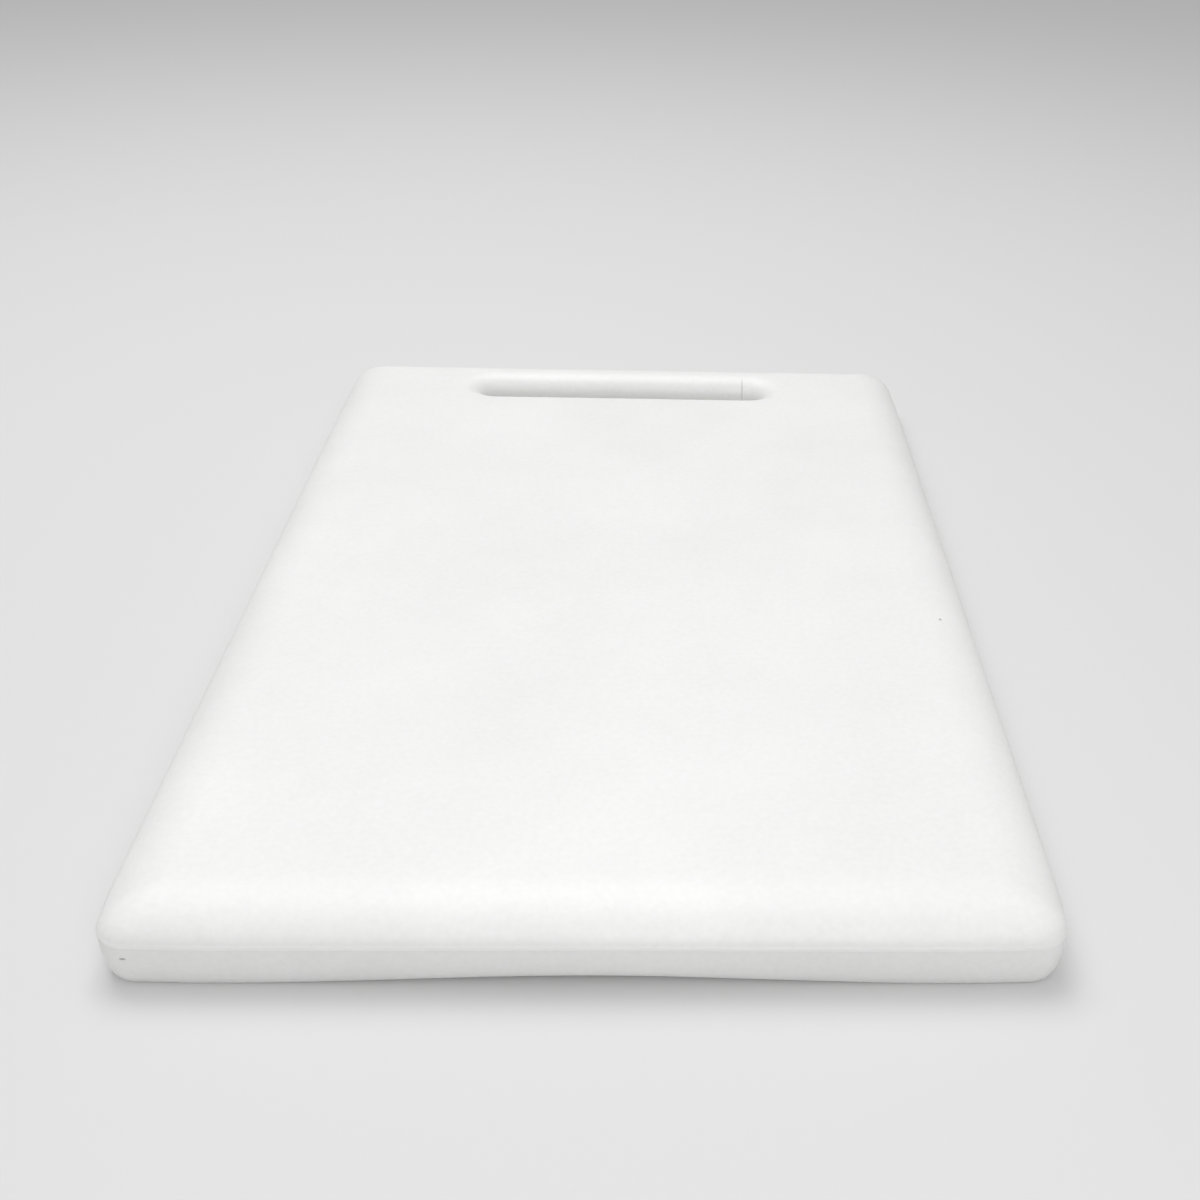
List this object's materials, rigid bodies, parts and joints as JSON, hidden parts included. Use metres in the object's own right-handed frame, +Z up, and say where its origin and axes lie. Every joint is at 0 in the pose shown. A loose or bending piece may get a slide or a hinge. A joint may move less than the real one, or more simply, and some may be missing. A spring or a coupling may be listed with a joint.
{
  "type": "cutting board",
  "caption": "Thick white plastic cutting board with wide rolled edges, rounded corners, a hand slot near one short end and a gently arched underside.",
  "frame": {"origin": "on the surface the board stands on, under the middle of the board", "axes": "+X across the width, +Y along the length towards the hand slot, +Z up out of the cutting face"},
  "size_m": [0.3004, 0.4504, 0.027],
  "materials": {
    "board_polyethylene": "white high-density polyethylene with a fine satin grain",
    "plug_polyethylene": "white low-density polyethylene, smooth"
  },
  "bodies": {
    "root": {"board_shell": "board_polyethylene", "blow_hole_plug": "plug_polyethylene"}
  },
  "joints": []
}
